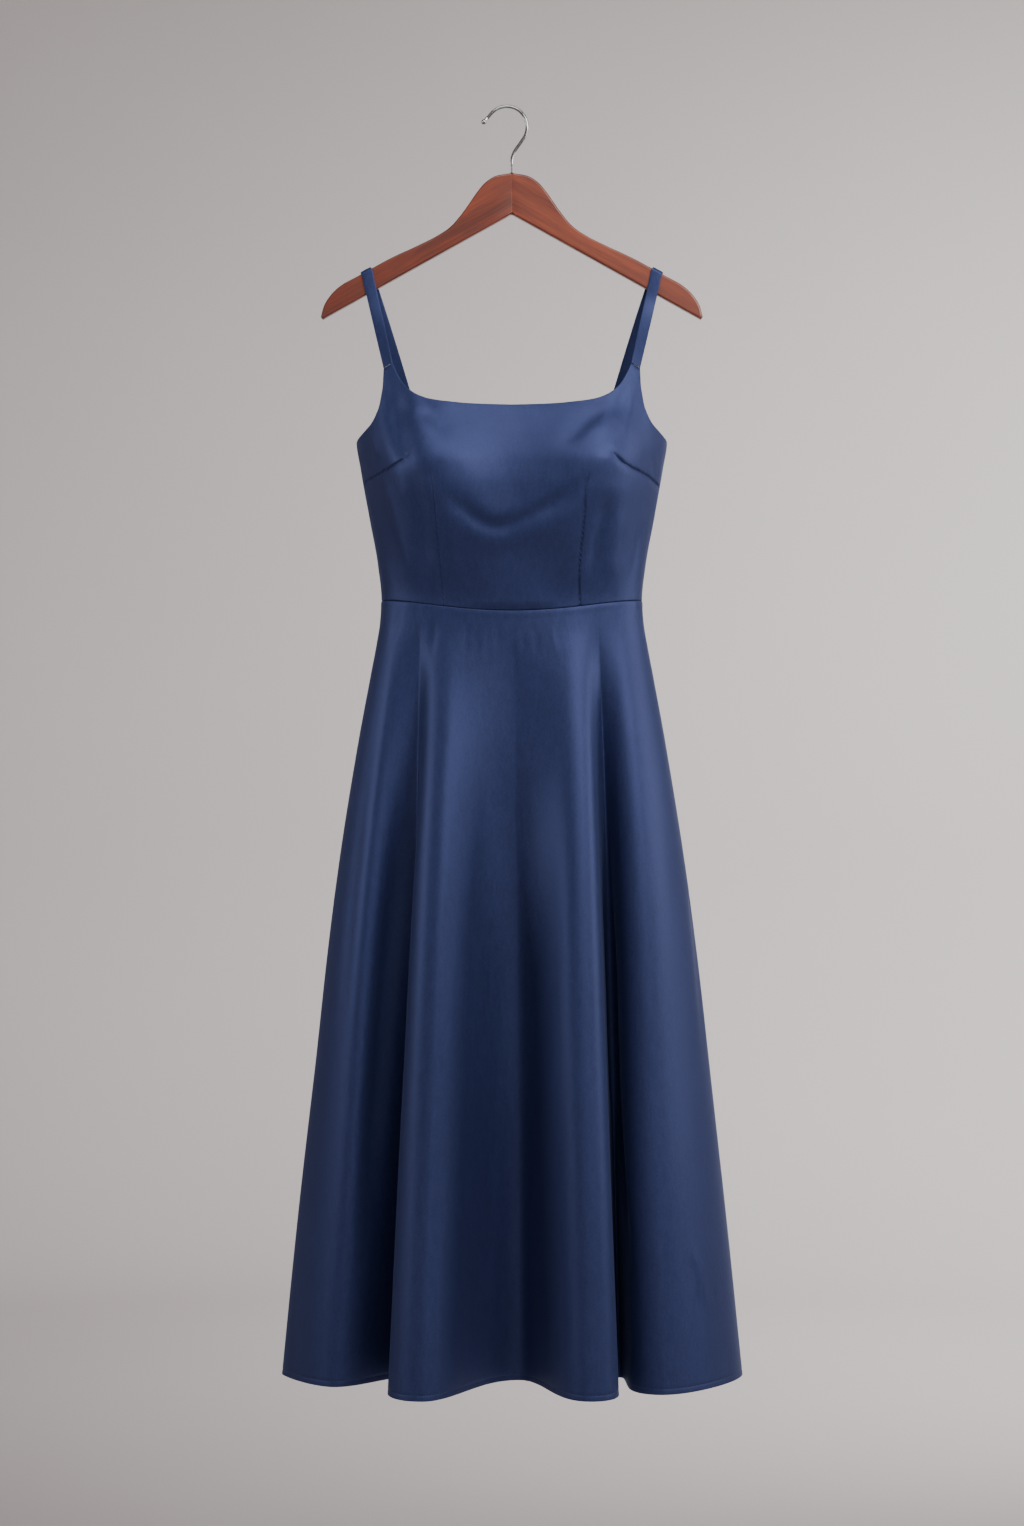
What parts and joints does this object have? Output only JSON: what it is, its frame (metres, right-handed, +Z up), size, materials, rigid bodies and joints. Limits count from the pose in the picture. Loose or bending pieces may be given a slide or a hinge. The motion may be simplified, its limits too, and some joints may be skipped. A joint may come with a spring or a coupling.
{
  "type": "midi dress on a wooden hanger",
  "caption": "Fitted square-neck satin midi dress with shoulder straps and a flared, softly fluted skirt, hanging from a wooden hanger with a wire hook.",
  "frame": {"origin": "inner top of the hook, where the rail carries it", "axes": "+Z up, -Y out of the front of the dress, +X to the right of someone who looks at the front"},
  "size_m": [0.531, 0.3098, 1.4617],
  "materials": {
    "navy_satin": "heavy satin with a broad soft sheen",
    "zip_tape": "matt woven tape",
    "navy_metal": "satin enamel",
    "cherry_wood": "satin lacquer over a fine straight grain",
    "chrome": "bright"
  },
  "bodies": {
    "garment": {"bodice_front": "navy_satin", "bodice_back_left": "navy_satin", "bodice_back_right": "navy_satin", "skirt_front": "navy_satin", "skirt_back_left": "navy_satin", "skirt_back_right": "navy_satin", "strap_left": "navy_satin", "strap_right": "navy_satin", "zip_tape": "zip_tape", "zip_slider": "navy_metal", "hanger_arm_left": "cherry_wood", "hanger_arm_right": "cherry_wood", "hanger_hook": "chrome"},
    "zip_pull": {"zip_pull": "navy_metal"}
  },
  "joints": [
    {"name": "zip_pull_swing", "type": "hinge", "parent": "garment", "child": "zip_pull", "pos_m": [0.0058, 0.07423, -0.4007], "axis": [1, 0, 0], "range_deg": [0, 150]}
  ]
}
